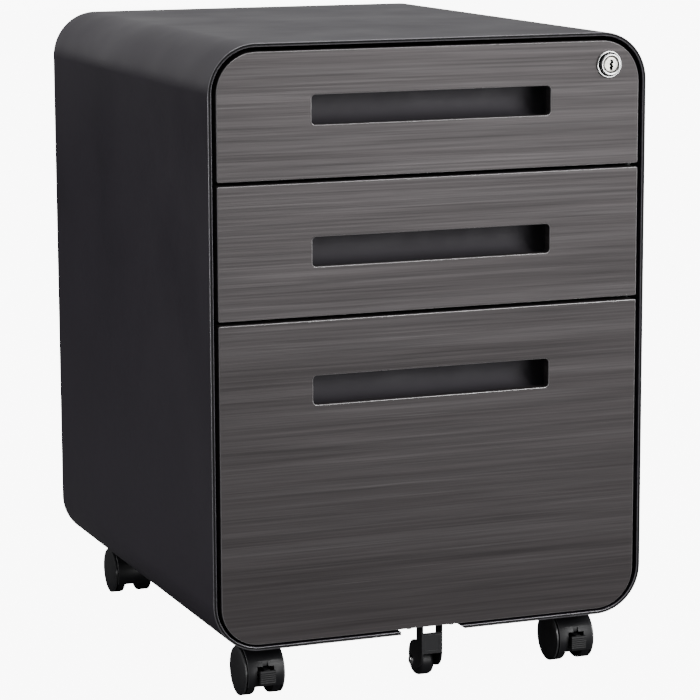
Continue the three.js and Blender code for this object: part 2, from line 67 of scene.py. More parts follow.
class Graph:
    """A small builder for one node material."""

    def __init__(self, name):
        self.material = bpy.data.materials.new(name)
        self.material.use_nodes = True
        self.tree = self.material.node_tree
        self.shader = self.tree.nodes["Principled BSDF"]
        self.coords = self.add("ShaderNodeTexCoord").outputs["Object"]

    def add(self, kind, **settings):
        node = self.tree.nodes.new(kind)
        for key, value in settings.items():
            setattr(node, key, value)
        return node

    def link(self, source, target):
        self.tree.links.new(source, target)

    def stretched(self, scale, turn=(0, 0, 0)):
        node = self.add("ShaderNodeMapping")
        node.inputs["Scale"].default_value = scale
        node.inputs["Rotation"].default_value = turn
        self.link(self.coords, node.inputs["Vector"])
        return node.outputs["Vector"]

    def noise(self, scale, detail=4.0, rough=0.5, vector=None, distortion=0.0):
        node = self.add("ShaderNodeTexNoise")
        node.inputs["Scale"].default_value = scale
        node.inputs["Detail"].default_value = detail
        node.inputs["Roughness"].default_value = rough
        node.inputs["Distortion"].default_value = distortion
        self.link(vector or self.coords, node.inputs["Vector"])
        return node.outputs["Fac"]

    def ramp(self, factor, stops):
        node = self.add("ShaderNodeValToRGB")
        elements = node.color_ramp.elements
        while len(elements) < len(stops):
            elements.new(0.5)
        for element, (place, colour) in zip(elements, stops):
            element.position = place
            element.color = (*colour, 1.0)
        self.link(factor, node.inputs["Fac"])
        return node.outputs["Color"]

    def remap(self, value, low, high, start=0.0, stop=1.0):
        node = self.add("ShaderNodeMapRange")
        node.inputs["From Min"].default_value = start
        node.inputs["From Max"].default_value = stop
        node.inputs["To Min"].default_value = low
        node.inputs["To Max"].default_value = high
        self.link(value, node.inputs["Value"])
        return node.outputs["Result"]

    def mix(self, factor, first, second, blend="MIX"):
        node = self.add("ShaderNodeMix", data_type="RGBA", blend_type=blend)
        for socket, value in ((node.inputs[0], factor), (node.inputs[6], first), (node.inputs[7], second)):
            if isinstance(value, (int, float)):
                socket.default_value = value
            elif isinstance(value, tuple):
                socket.default_value = (*value, 1.0)
            else:
                self.link(value, socket)
        return node.outputs[2]

    def maths(self, operation, first, second):
        node = self.add("ShaderNodeMath", operation=operation)
        for socket, value in ((node.inputs[0], first), (node.inputs[1], second)):
            if isinstance(value, (int, float)):
                socket.default_value = value
            else:
                self.link(value, socket)
        return node.outputs[0]

    def bump(self, height, strength, distance):
        node = self.add("ShaderNodeBump")
        node.inputs["Strength"].default_value = strength
        node.inputs["Distance"].default_value = distance
        self.link(height, node.inputs["Height"])
        self.link(node.outputs["Normal"], self.shader.inputs["Normal"])

    def set(self, **values):
        for key, value in values.items():
            self.shader.inputs[key.replace("_", " ")].default_value = value


def powder_coat(name, dark, light, rough, bump=0.12, grain=2600.0, tint=(1.0, 1.0, 1.0, 1.0)):
    """Satin powder coat: a fine orange peel, with faint cloudiness in colour and gloss."""
    g = Graph(name)
    cloud = g.noise(9.0, 3.0, 0.6)
    speck = g.noise(grain * 0.5, 2.0, 0.6)
    both = g.maths("ADD", g.maths("MULTIPLY", cloud, 0.7), g.maths("MULTIPLY", speck, 0.3))
    g.link(g.ramp(both, [(0.3, dark), (0.7, light)]), g.shader.inputs["Base Color"])
    g.link(g.remap(cloud, rough - 0.05, rough + 0.05, 0.3, 0.7), g.shader.inputs["Roughness"])
    g.bump(g.noise(grain, 3.0, 0.55), bump, 0.0002)
    g.set(Specular_Tint=tint)
    return g.material


def brushed_film():
    """Grey-brown film with long level grain lines, some light and some dark, over a fine brushed texture."""
    g = Graph("front_film")
    broad = g.noise(1.0, 5.0, 0.62, g.stretched((2.4, 2.4, 120.0)), 0.25)
    fine = g.noise(1.0, 6.0, 0.6, g.stretched((5.5, 5.5, 620.0)), 0.1)
    line = g.noise(1.0, 2.0, 0.5, g.stretched((3.2, 3.2, 300.0), (0.0, 0.004, 0.0)), 0.15)
    patch = g.noise(1.0, 2.0, 0.5, g.stretched((6.0, 6.0, 18.0)))
    base = g.ramp(broad, [
        (0.28, (0.058, 0.050, 0.0515)), (0.5, (0.082, 0.0725, 0.0745)), (0.72, (0.114, 0.103, 0.106)),
    ])
    hair = g.ramp(fine, [(0.3, (0.72, 0.72, 0.72)), (0.5, (1.0, 1.0, 1.0)), (0.72, (1.28, 1.27, 1.27))])
    colour = g.mix(1.0, base, hair, "MULTIPLY")
    bright = g.remap(line, 0.0, 1.0, 0.66, 0.74)
    faded = g.maths("MULTIPLY", bright, g.remap(patch, 0.0, 1.0, 0.42, 0.62))
    colour = g.mix(g.maths("MULTIPLY", faded, 0.5), colour, (0.22, 0.205, 0.21))
    dark = g.remap(line, 1.0, 0.0, 0.24, 0.34)
    faded_dark = g.maths("MULTIPLY", dark, g.remap(patch, 1.0, 0.0, 0.38, 0.58))
    colour = g.mix(g.maths("MULTIPLY", faded_dark, 0.5), colour, (0.035, 0.031, 0.032))
    g.link(colour, g.shader.inputs["Base Color"])
    g.link(g.remap(fine, 0.46, 0.36, 0.3, 0.7), g.shader.inputs["Roughness"])
    height = g.maths("ADD", g.maths("MULTIPLY", fine, 0.6), g.maths("MULTIPLY", line, 0.4))
    g.bump(height, 0.25, 0.00025)
    g.set(Metallic=0.35, Anisotropic=0.4)
    return g.material


def painted_edge_highlight(name, dark, light, rough, metallic):
    """Painted highlight for a folded edge: a pale, smoother colour that stands in for the light the edge catches,
    mottled a little along its length.
    """
    g = Graph(name)
    highlight_mottle = g.noise(60.0, 4.0, 0.65)
    g.link(g.ramp(highlight_mottle, [(0.3, dark), (0.7, light)]), g.shader.inputs["Base Color"])
    g.link(g.remap(highlight_mottle, rough + 0.04, rough - 0.04, 0.3, 0.7), g.shader.inputs["Roughness"])
    g.bump(g.noise(1500.0, 2.0), 0.05, 0.0001)
    g.set(Metallic=metallic)
    return g.material


def moulded(name, dark, light, rough, grain=1900.0, bump=0.1):
    """Moulded plastic with a fine spark-eroded grain."""
    g = Graph(name)
    tone = g.noise(14.0, 3.0, 0.6)
    g.link(g.ramp(tone, [(0.3, dark), (0.7, light)]), g.shader.inputs["Base Color"])
    g.link(g.remap(g.noise(60.0, 3.0), rough - 0.06, rough + 0.06, 0.3, 0.7), g.shader.inputs["Roughness"])
    g.bump(g.noise(grain, 2.0, 0.6), bump, 0.00015)
    return g.material


def zinc():
    """Bright zinc plate with soft spangle and drawing marks along the length."""
    g = Graph("zinc_steel")
    draw = g.noise(1.0, 4.0, 0.6, g.stretched((420.0, 10.0, 420.0)))
    spangle = g.noise(120.0, 4.0, 0.7)
    tone = g.maths("ADD", g.maths("MULTIPLY", draw, 0.5), g.maths("MULTIPLY", spangle, 0.5))
    g.link(g.ramp(tone, [(0.3, (0.36, 0.37, 0.38)), (0.7, (0.62, 0.63, 0.64))]), g.shader.inputs["Base Color"])
    g.link(g.remap(spangle, 0.26, 0.44, 0.3, 0.7), g.shader.inputs["Roughness"])
    g.bump(draw, 0.08, 0.0002)
    g.set(Metallic=1.0)
    return g.material


def chrome(name, colour, rough):
    """Polished plate with faint buffing swirls and a trace of handling haze."""
    g = Graph(name)
    haze = g.noise(240.0, 4.0, 0.6)
    darker = tuple(c * 0.9 for c in colour)
    g.link(g.ramp(haze, [(0.3, darker), (0.7, colour)]), g.shader.inputs["Base Color"])
    g.link(g.remap(haze, rough * 0.7, rough * 1.4, 0.3, 0.7), g.shader.inputs["Roughness"])
    g.bump(g.noise(900.0, 2.0), 0.03, 0.0001)
    g.set(Metallic=1.0)
    return g.material


FLOOR_SEEN = 9.0  # how bright the floor is to the camera alone


def floor_paint():
    """Matt grey floor that lights nothing, but shows near white to the camera."""
    g = Graph("studio_floor")
    tone = g.noise(3.0, 3.0)
    g.link(g.ramp(tone, [(0.3, (0.13, 0.13, 0.131)), (0.7, (0.15, 0.15, 0.151))]), g.shader.inputs["Base Color"])
    g.set(Roughness=0.85, Emission_Color=(1.0, 1.0, 1.0, 1.0))
    seen = g.add("ShaderNodeLightPath").outputs["Is Camera Ray"]
    g.link(g.remap(seen, 0.0, FLOOR_SEEN), g.shader.inputs["Emission Strength"])
    return g.material


SHELL_PAINT = powder_coat(
    "shell_paint", (0.0225, 0.0185, 0.0275), (0.0270, 0.0225, 0.0325), 0.37, tint=(0.97, 0.90, 1.0, 1.0))
# Painted highlight: a pale paint for the rim's beads and the bracket's bevels, for the bright lines along them.
RIM_HIGHLIGHT = painted_edge_highlight("rim_highlight", (0.30, 0.295, 0.315), (0.40, 0.392, 0.415), 0.28, 0.4)
# Painted highlight: a pale, metallic film for the folds round the fronts and the finger slots.
FILM_HIGHLIGHT = painted_edge_highlight("film_highlight", (0.58, 0.56, 0.57), (0.76, 0.74, 0.75), 0.3, 0.7)
# Painted shade: a near-black paint for the groove between the rim's beads.
RIM_GROOVE_SHADE = powder_coat("rim_groove_shade", (0.003, 0.003, 0.003), (0.005, 0.005, 0.005), 0.85)
INNER_PAINT = powder_coat("inner_paint", (0.016, 0.016, 0.018), (0.022, 0.022, 0.025), 0.5)
FRONT_FILM = brushed_film()
ZINC = zinc()
CHROME = chrome("chrome", (0.86, 0.86, 0.86), 0.12)
PLUG_CHROME = chrome("plug_nickel", (0.86, 0.84, 0.78), 0.28)
POCKET = moulded("pocket_plastic", (0.064, 0.059, 0.068), (0.073, 0.067, 0.078), 0.66)
TRAY = moulded("tray_plastic", (0.026, 0.026, 0.028), (0.036, 0.036, 0.038), 0.55)
# Painted highlight: a paler caster plastic for the wheels' rims and the mudguards' edges.
CASTER_HIGHLIGHT = painted_edge_highlight("caster_highlight", (0.05, 0.05, 0.053), (0.08, 0.08, 0.084), 0.3, 0.0)
CASTER = moulded("caster_plastic", (0.012, 0.012, 0.014), (0.018, 0.018, 0.021), 0.43)
LEVER = moulded("lever_plastic", (0.012, 0.012, 0.013), (0.018, 0.018, 0.020), 0.5)

# ---------------------------------------------------------------- mesh helpers

SHARP = 32.0  # degrees between faces that keep a hard edge, unless a piece says otherwise


def finish_mesh(bm, name, material, sharp=SHARP):
    """Turns a bmesh into an object with clean normals and one material."""
    bmesh.ops.remove_doubles(bm, verts=bm.verts, dist=1e-7)
    bmesh.ops.recalc_face_normals(bm, faces=bm.faces)
    mesh = bpy.data.meshes.new(name)
    bm.to_mesh(mesh)
    bm.free()
    mesh.shade_smooth()
    mesh.set_sharp_from_angle(angle=math.radians(sharp))
    obj = bpy.data.objects.new(name, mesh)
    bpy.context.scene.collection.objects.link(obj)
    mesh.materials.append(material)
    return obj


def even_shading(obj):
    modifier = obj.modifiers.new("even_shading", "WEIGHTED_NORMAL")
    modifier.keep_sharp = True
    modifier.weight = 60


def skin(bm, rings, closed=False, cap=True):
    """Joins rings of points, each in millimetres, into a tube or, if closed, a ring."""
    loops = [[bm.verts.new(Vector(p) * MM) for p in ring] for ring in rings]
    count = len(loops[0])
    pairs = list(zip(loops, loops[1:]))
    if closed:
        pairs.append((loops[-1], loops[0]))
    for first, second in pairs:
        for i in range(count):
            j = (i + 1) % count
            bm.faces.new((first[i], first[j], second[j], second[i]))
    if cap and not closed:
        bm.faces.new(loops[0])
        bm.faces.new(list(reversed(loops[-1])))
    return loops


def rounded_loop(x0, x1, z0, z1, radii, steps):
    """Points round a rectangle. radii: bottom pair and top pair of corners."""
    bottom, top = (max(r, 0.05) for r in radii)
    corners = (
        (x1, z0, bottom, -90, -1, 1), (x1, z1, top, 0, -1, -1), (x0, z1, top, 90, 1, -1), (x0, z0, bottom, 180, 1, 1),
    )
    loop = []
    for x, z, r, start, sx, sz in corners:
        for i in range(steps + 1):
            a = math.radians(start + 90 * i / steps)
            loop.append((x + sx * r + r * math.cos(a), z + sz * r + r * math.sin(a)))
    return loop


def arc(c0, c1, r, start, stop, steps):
    """Points round the centre (c0, c1), from one angle to another, in degrees."""
    return [
        (c0 + r * math.cos(math.radians(start + (stop - start) * i / steps)),
         c1 + r * math.sin(math.radians(start + (stop - start) * i / steps)))
        for i in range(steps + 1)
    ]


def lathe(bm, profile, centre, axis, steps, phase=0.0, closed=False):
    """Turns (radius, along) pairs, in millimetres, about an axis through centre. A closed profile is a hollow ring."""
    rings = []
    for radius, along in profile:
        ring = []
        for i in range(steps):
            a = math.tau * (i + phase) / steps
            u, v = radius * math.cos(a), radius * math.sin(a)
            point = {"x": (along, u, v), "y": (u, along, v), "z": (u, v, along)}[axis]
            ring.append(Vector(centre) + Vector(point))
        rings.append(ring)
    skin(bm, rings, closed)


def prism(bm, outline, along0, along1, axis):
    """Extrudes an outline between two places along an axis, millimetres."""
    def point(a, b, c):
        return {"x": (c, a, b), "y": (a, c, b), "z": (a, b, c)}[axis]

    skin(bm, [[point(a, b, c) for a, b in outline] for c in (along0, along1)])


def slab(bm, xs, ys, zs):
    prism(bm, [(xs[0], ys[0]), (xs[1], ys[0]), (xs[1], ys[1]), (xs[0], ys[1])], zs[0], zs[1], "z")


def soften(obj, width, angle=SHARP, painted_highlight=None):
    """Bevels the edges, in millimetres. A second material, given last, paints the bevels as a highlight."""
    modifier = obj.modifiers.new("edge", "BEVEL")
    modifier.width = width * MM
    modifier.segments = 2
    modifier.limit_method = "ANGLE"
    modifier.angle_limit = math.radians(angle)
    modifier.harden_normals = True
    if painted_highlight:
        obj.data.materials.append(painted_highlight)
        modifier.material = len(obj.data.materials) - 1


def carve(obj, *tools, join=()):
    """Joins the objects in join to obj, then cuts the tool objects out of it, and applies the result."""
    steps = [(other, "UNION") for other in join] + [(tool, "DIFFERENCE") for tool in tools]
    for tool, operation in steps:
        modifier = obj.modifiers.new("cut", "BOOLEAN")
        modifier.operation = operation
        modifier.solver = "EXACT"
        modifier.object = tool
    graph = bpy.context.evaluated_depsgraph_get()
    mesh = bpy.data.meshes.new_from_object(obj.evaluated_get(graph))
    obj.modifiers.clear()
    obj.data = mesh
    for tool, _ in steps:
        bpy.data.objects.remove(tool)
    mesh.shade_smooth()
    mesh.set_sharp_from_angle(angle=math.radians(SHARP))


def tool_object(bm):
    """Makes a bmesh into an object that carve joins or cuts with, and then removes."""
    bmesh.ops.recalc_face_normals(bm, faces=bm.faces)
    mesh = bpy.data.meshes.new("tool")
    bm.to_mesh(mesh)
    bm.free()
    obj = bpy.data.objects.new("tool", mesh)
    bpy.context.scene.collection.objects.link(obj)
    return obj


def paint_faces(obj, material, chosen):
    """Gives a second material to the faces that chosen(centre, normal) picks; the centre is in millimetres."""
    obj.data.materials.append(material)
    index = len(obj.data.materials) - 1
    for polygon in obj.data.polygons:
        if chosen(polygon.center / MM, polygon.normal):
            polygon.material_index = index


def box_of(node):
    """A frame node's box, in millimetres."""
    return tuple(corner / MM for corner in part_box(node))


def middle_of(node):
    """The middle of a frame node's box, in millimetres, as three plain numbers."""
    low, high = box_of(node)
    return tuple((a + b) / 2 for a, b in zip(low, high))


def place(obj, body, slot, *nodes):
    """Hands a finished piece to the frame: the body it rides and the nodes it stands for, which it hides. The material
    slot is not used.
    """
    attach(obj, body)
    if nodes:
        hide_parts(*nodes)


# ---------------------------------------------------------------- shell and back

SHEET = 1.0
RIM_W = 3.0
RIM_D = 10.0
RIM_BEAD = 0.62
GROOVE_DEPTH = 0.6
SHELL_STEPS = 24
BACK_LIP = 13.0


def shell_ring(inset, y):
    """The shell's outline, moved inwards."""
    r = CORNER_R - inset
    loop = rounded_loop(-HALF_W + inset, HALF_W - inset, SHELL_Z0 + inset, SHELL_Z1 - inset, (r, r), SHELL_STEPS)
    return [(x, y, z) for x, z in loop]


def make_shell():
    """Wrapped sheet with a rolled back edge and, round the front, a rim with a bead each side of a groove."""
    groove = [(0.1, 0.0), (0.3, GROOVE_DEPTH), (1.46, GROOVE_DEPTH), (1.66, 0.0)]
    section = [(0.0, BACK_Y - 0.4), (0.12, BACK_Y - 0.12), (0.4, BACK_Y), (0.6, BACK_Y)]
    section += [(0.88, BACK_Y - 0.12), (SHEET, BACK_Y - 0.4), (SHEET, FRONT_Y + RIM_D + 0.5)]
    section += [(RIM_W - 0.3, FRONT_Y + RIM_D), (RIM_W, FRONT_Y + RIM_D - 0.3)]
    section += arc(RIM_W - RIM_BEAD, FRONT_Y + RIM_BEAD, RIM_BEAD, 0, -90, 5)
    section += [(RIM_BEAD + u, FRONT_Y + v) for u, v in reversed(groove)]
    section += arc(RIM_BEAD, FRONT_Y + RIM_BEAD, RIM_BEAD, -90, -180, 6)
    bm = bmesh.new()
    skin(bm, [shell_ring(inset, y) for inset, y in section], closed=True)
    shell = finish_mesh(bm, "shell_skin", SHELL_PAINT, 50)
    z = SHELL_Z0
    notch = [(-28.4, z - 1), (31, z - 1), (30, z), (25.5, z + 3.2), (25.5, z + 6), (-28.4, z + 6)]
    bm = bmesh.new()
    prism(bm, notch, FRONT_Y - 1, FRONT_Y + 30, "y")
    carve(shell, tool_object(bm))

    def on_bead(centre, normal):
        return centre.y < FRONT_Y + 0.7 and -0.97 < normal.y < -0.25

    def in_rim_groove(centre, normal):
        return FRONT_Y + 0.4 < centre.y < FRONT_Y + 0.7 and normal.y < -0.98

    # Painted highlight: the rim's beads get the pale rim paint, for the bright lines along them.
    paint_faces(shell, RIM_HIGHLIGHT, on_bead)
    # Painted shade: the groove between the beads gets the near-black paint.
    paint_faces(shell, RIM_GROOVE_SHADE, in_rim_groove)
    even_shading(shell)
    place(shell, "cabinet", "shell_paint", "shell_wrap")


def make_back():
    """Pressed back: a flat sheet with rounded folds and a shallow raised border."""
    y1 = BACK_Y - 1
    inset = SHEET + 0.3
    outside = [(inset + SHEET, y1 - BACK_LIP), (inset, y1 - BACK_LIP)]
    outside += [(inset, y1 - 1.4), (inset + 0.4, y1 - 0.4), (inset + 1.4, y1)]
    outside += [(22.0, y1), (23.5, y1 - 0.5), (25.5, y1 - 0.7)]
    inside = [(26.5, y1 - 1.7), (24.5, y1 - 1.5), (23.0, y1 - 1.0), (inset + 2.2, y1 - 1.0)]
    inside += [(inset + SHEET, y1 - 2.0), (inset + SHEET, y1 - BACK_LIP)]
    bm = bmesh.new()
    outside_loops = skin(bm, [shell_ring(i, y) for i, y in outside], cap=False)
    bm.faces.new(list(reversed(outside_loops[-1])))
    inside_loops = skin(bm, [shell_ring(i, y) for i, y in inside], cap=False)
    bm.faces.new(inside_loops[0])
    back = finish_mesh(bm, "back_sheet", SHELL_PAINT)
    even_shading(back)
    place(back, "cabinet", "shell_paint", "back_panel")


make_shell()
make_back()

# ---------------------------------------------------------------- drawer fronts

SLOT_HALF = 106.5
SLOT_HALF_H = 12.25
SLOT_R = 3.5
FRONT_STEPS = 12
FRONT_RADII = {"top": (1.5, 34.0), "middle": (1.5, 1.5), "file": (34.0, 1.5)}
FRONT_FOLD = 0.8
SLOT_LIP = 0.7
SLOT_DEPTH = 9.0
LOCK_HOLE_R = 9.8
POCKET_WALL = 1.2
POCKET_MARGIN = 1.3  # from a pocket's inside to the slot's edge
SLOT_Z = {
    name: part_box(f"finger_pocket_{name}")[0].z / MM + POCKET_WALL + POCKET_MARGIN + SLOT_HALF_H for name in DRAWERS
}


def slot_ring(grow, y, centre):
    """A finger slot's outline, moved outwards."""
    r = SLOT_R + grow
    half, half_h = SLOT_HALF + grow, SLOT_HALF_H + grow
    loop = rounded_loop(-half, half, centre - half_h, centre + half_h, (r, r), FRONT_STEPS)
    return [(x, y, z) for x, z in loop]


def make_front(name):
    """Folded front with rounded edges, a finger slot with its own lip and, on the top one, the lock's hole."""
    low, high = box_of(f"drawer_front_{name}")
    centre = SLOT_Z[name]

    def edge_ring(inset, y):
        radii = tuple(max(r - inset, 0.3) for r in FRONT_RADII[name])
        loop = rounded_loop(low.x + inset, high.x - inset, low.z + inset, high.z - inset, radii, FRONT_STEPS)
        return [(x, y, z) for x, z in loop]

    fold_arc = arc(0, FRONT_Y + FRONT_FOLD, FRONT_FOLD, 180, 270, 5)
    lip_arc = arc(0, FRONT_Y + SLOT_LIP, SLOT_LIP, -90, 0, 5)
    rings = [edge_ring(0.0, high.y)]
    rings += [edge_ring(FRONT_FOLD + u, y) for u, y in fold_arc]
    rings += [slot_ring(SLOT_LIP - u, y, centre) for u, y in lip_arc]
    rings += [slot_ring(grow, FRONT_Y + SLOT_DEPTH, centre) for grow in (0.0, SHEET)]
    rings += [slot_ring(SHEET, FRONT_Y + SHEET, centre), edge_ring(SHEET, FRONT_Y + SHEET), edge_ring(SHEET, high.y)]
    bm = bmesh.new()
    skin(bm, rings, closed=True)
    front = finish_mesh(bm, f"front_{name}", FRONT_FILM, 40)
    if name == "top":
        x, _, z = middle_of("lock_plug")
        bm = bmesh.new()
        lathe(bm, [(LOCK_HOLE_R, FRONT_Y - 3), (LOCK_HOLE_R, FRONT_Y + 4)], (x, 0, z), "y", 48)
        carve(front, tool_object(bm))

    def on_fold(centre, normal):
        return centre.y < FRONT_Y + FRONT_FOLD and -0.97 < normal.y < -0.1

    # Painted highlight: the folds round the front and round the finger slot get the pale film, for the bright lines
    # along them.
    paint_faces(front, FILM_HIGHLIGHT, on_fold)
    even_shading(front)
    place(front, f"drawer_{name}", "front_film", f"drawer_front_{name}")


POCKET_SWEEP = 16.0
POCKET_CORNER = 3.0
POCKET_STEPS = 6
SWEEP_STEPS = 14


def make_pocket(name):
    """Moulded finger pocket: rounded inside corners, and a floor that sweeps up into the back."""
    low, high = box_of(f"finger_pocket_{name}")
    wall = POCKET_WALL

    def ring(grow, y, lift, r):
        loop = rounded_loop(
            low.x + wall - grow, high.x - wall + grow, low.z + wall - grow + lift, high.z - wall + grow, (r, r),
            POCKET_STEPS)
        return [(x, y, z) for x, z in loop]

    y0, y1 = low.y, high.y - wall
    inner = [ring(0, y0, 0, POCKET_CORNER)]
    for i in range(SWEEP_STEPS + 1):
        a = math.radians(90 * i / SWEEP_STEPS)
        y = y1 - POCKET_SWEEP + POCKET_SWEEP * math.sin(a)
        into_corner = max(y - y1 + POCKET_CORNER, 0.0)
        tuck = POCKET_CORNER - math.sqrt(max(POCKET_CORNER ** 2 - into_corner ** 2, 0.0))
        lift = max(POCKET_SWEEP * (1 - math.cos(a)) - tuck, 0.0)
        inner.append(ring(-tuck, y, lift, POCKET_CORNER))
    outer = [ring(wall, y1 + wall, 7.5, 2.0), ring(wall, y1 + wall - 2.0, 6.5, 3.0)]
    outer += [ring(wall, y1 - 9.0, 0, 3.0), ring(wall, y0, 0, 3.0)]
    bm = bmesh.new()
    inside = skin(bm, inner, cap=False)
    outside = skin(bm, outer, cap=False)
    bm.faces.new(list(reversed(inside[-1])))
    bm.faces.new(outside[0])
    for i in range(len(inside[0])):
        j = (i + 1) % len(inside[0])
        bm.faces.new((inside[0][i], inside[0][j], outside[-1][j], outside[-1][i]))
    pocket = finish_mesh(bm, f"pocket_{name}", POCKET, 40)
    even_shading(pocket)
    place(pocket, f"drawer_{name}", "pocket_plastic", f"finger_pocket_{name}")


for drawer in DRAWERS:
    make_front(drawer)
for drawer in DRAWERS:
    make_pocket(drawer)

# ---------------------------------------------------------------- lock

LOCK_X, _, LOCK_Z = middle_of("lock_housing")
LOCK_AXIS = (LOCK_X, 0, LOCK_Z)
LOCK_TIP = box_of("lock_housing")[0].y


def off_lock_axis(point):
    return math.hypot(point.x - LOCK_X, point.z - LOCK_Z)


def make_lock_housing():
    """Stepped bezel with a groove between its barrel and its flange; the groove and the inside of the barrel are
    painted dark as shade.
    """
    y = LOCK_TIP
    profile = [(6.9, y + 2.4), (6.9, y + 0.7), (7.1, y + 0.25), (7.5, y)]
    profile += arc(8.3, y + 0.9, 0.9, -90, 0, 6) + [(9.2, y + 4.3), (10.0, y + 4.3), (10.0, y + 3.8)]
    profile += arc(10.4, y + 3.8, 0.4, 180, 270, 3)[1:] + arc(10.8, y + 4.1, 0.7, -90, 0, 4)
    profile += [(11.5, y + 4.7), (9.5, y + 4.7), (9.5, y + 19), (6.5, y + 19), (6.5, y + 2.4)]
    bm = bmesh.new()
    lathe(bm, profile, LOCK_AXIS, "y", 72, closed=True)
    housing = finish_mesh(bm, "lock_bezel", CHROME, 40)

    def in_painted_shade(centre, _):
        radius = off_lock_axis(centre)
        return y + 1.6 < centre.y < y + 4.4 and (9.1 < radius < 10.05 or radius < 7.0)

    # Painted shade: the groove and the barrel's inside take the near-black caster plastic.
    paint_faces(housing, CASTER, in_painted_shade)
    even_shading(housing)
    place(housing, "drawer_top", "chrome", "lock_housing")


def make_lock_plug():
    """Plug with a chamfered face and a keyway, painted dark inside as shade."""
    low, high = box_of("lock_plug")
    y = low.y
    profile = [(0.01, y), (5.6, y), (6.05, y + 0.15), (6.3, y + 0.5), (6.3, y + 20.4)]
    profile += [(3.0, y + 20.4), (3.0, high.y), (0.01, high.y)]
    bm = bmesh.new()
    lathe(bm, profile, LOCK_AXIS, "y", 64)
    plug = finish_mesh(bm, "lock_face", PLUG_CHROME, 40)
    keyway = [(-0.8, -5.0), (1.3, -5.0), (1.3, -2.4), (2.3, -1.2), (1.0, 0.4), (2.0, 1.6), (1.5, 4.2), (-1.1, 4.2),
              (-0.4, 1.9), (-1.9, 0.7), (-0.9, -1.0), (-1.7, -2.4)]
    bm = bmesh.new()
    prism(bm, [(LOCK_X + a, LOCK_Z + b) for a, b in keyway], y - 2, y + 8, "y")
    carve(plug, tool_object(bm))

    def in_keyway_shade(centre, _):
        return y + 0.1 < centre.y < y + 8.2 and off_lock_axis(centre) < 5.5

    # Painted shade: the keyway's walls and floor take the near-black caster plastic.
    paint_faces(plug, CASTER, in_keyway_shade)
    even_shading(plug)
    place(plug, "lock_plug", "chrome", "lock_plug")


make_lock_housing()
make_lock_plug()

# ---------------------------------------------------------------- anti-tip wheel

BRACKET_TOP = box_of("anti_tip_bracket")[1].z
TIP_X, TIP_Y, TIP_Z = middle_of("anti_tip_wheel")
TIP_R = box_of("anti_tip_wheel")[1].z - TIP_Z
EAR_LEFT = TIP_X - 8.8
EAR_RIGHT = TIP_X + 10.2
EAR_MIDDLE = (EAR_LEFT + EAR_RIGHT) / 2
EAR_HALF = (EAR_RIGHT - EAR_LEFT) / 2
EAR_THICK = 1.3
RIVET_R = 2.35
TIP_WHEEL_HALF = 7.6
TIP_WHEEL_CROWN = 4.6


def smooth_curve(points, steps):
    """Points on a Catmull-Rom curve through the given ones."""
    ends = [points[0]] + list(points) + [points[-1]]
    curve = []
    for p0, p1, p2, p3 in zip(ends, ends[1:], ends[2:], ends[3:]):
        for i in range(steps):
            t = i / steps
            curve.append(tuple(
                0.5 * (2 * b + (c - a) * t + (2 * a - 5 * b + 4 * c - d) * t ** 2 + (3 * b - a - 3 * c + d) * t ** 3)
                for a, b, c, d in zip(p0, p1, p2, p3)))
    return curve + [points[-1]]


def make_tip_bracket():
    """Folded bracket: two rounded ears joined by a pressed web, with a screwed tab each side."""
    top = BRACKET_TOP
    lobe = [(8, 27.5), (8.7, 23.2), (11, 18.4), (15, 14.6), (20.5, 12.4), (27, 11.6), (33, 12.6), (36.6, 15.6),
            (38, 20.5), (37.3, 26), (34.8, 30.8), (31, 34.0), (26, 35.8), (21.4, 36.4)]
    outline = [(8, top)] + smooth_curve(lobe, 4) + [(20.7, 37.2), (20.7, top)]
    outline = [(FRONT_Y + y, z) for y, z in outline]
    bm = bmesh.new()
    prism(bm, outline, EAR_LEFT, EAR_LEFT + EAR_THICK, "x")
    bracket = finish_mesh(bm, "tip_bracket", INNER_PAINT)
    parts = []
    bm = bmesh.new()
    prism(bm, outline, EAR_RIGHT - EAR_THICK, EAR_RIGHT, "x")
    parts.append(tool_object(bm))
    web = [(8, 27.0), (8.8, 26.2), (10.2, 26.2), (10.2, 44.7), (9.4, 44.7), (8.0, 43.4)]
    bm = bmesh.new()
    prism(bm, [(FRONT_Y + y, z) for y, z in web], EAR_LEFT + 0.2, EAR_RIGHT - 0.2, "x")
    parts.append(tool_object(bm))
    for side in (-1, 1):
        tab = [EAR_MIDDLE + side * (EAR_HALF - 1), EAR_MIDDLE + side * (EAR_HALF + 13.5)]
        bm = bmesh.new()
        slab(bm, sorted(tab), (FRONT_Y + 8, FRONT_Y + 15.5), (top - 1.2, top))
        parts.append(tool_object(bm))
        bm = bmesh.new()
        centre = (TIP_X + side * 19.5, FRONT_Y + 11.8, 0)
        lathe(bm, [(1.6, top - 3.2), (2.3, top - 2.9), (2.6, top - 2.2), (2.6, top - 0.5)], centre, "z", 24)
        parts.append(tool_object(bm))
    bm = bmesh.new()
    panel = [(EAR_LEFT + 3.4, 29.2), (EAR_RIGHT - 3.0, 29.2), (EAR_RIGHT - 3.0, 41.4), (EAR_LEFT + 3.4, 41.4)]
    prism(bm, panel, FRONT_Y + 6, FRONT_Y + 8.35, "y")
    carve(bracket, tool_object(bm), join=parts)
    # Painted highlight: the bracket's bevels take the pale rim paint, for the thin bright lines along its edges.
    soften(bracket, 0.35, 30, painted_highlight=RIM_HIGHLIGHT)
    place(bracket, "drawer_file", "inner_paint", "anti_tip_bracket")


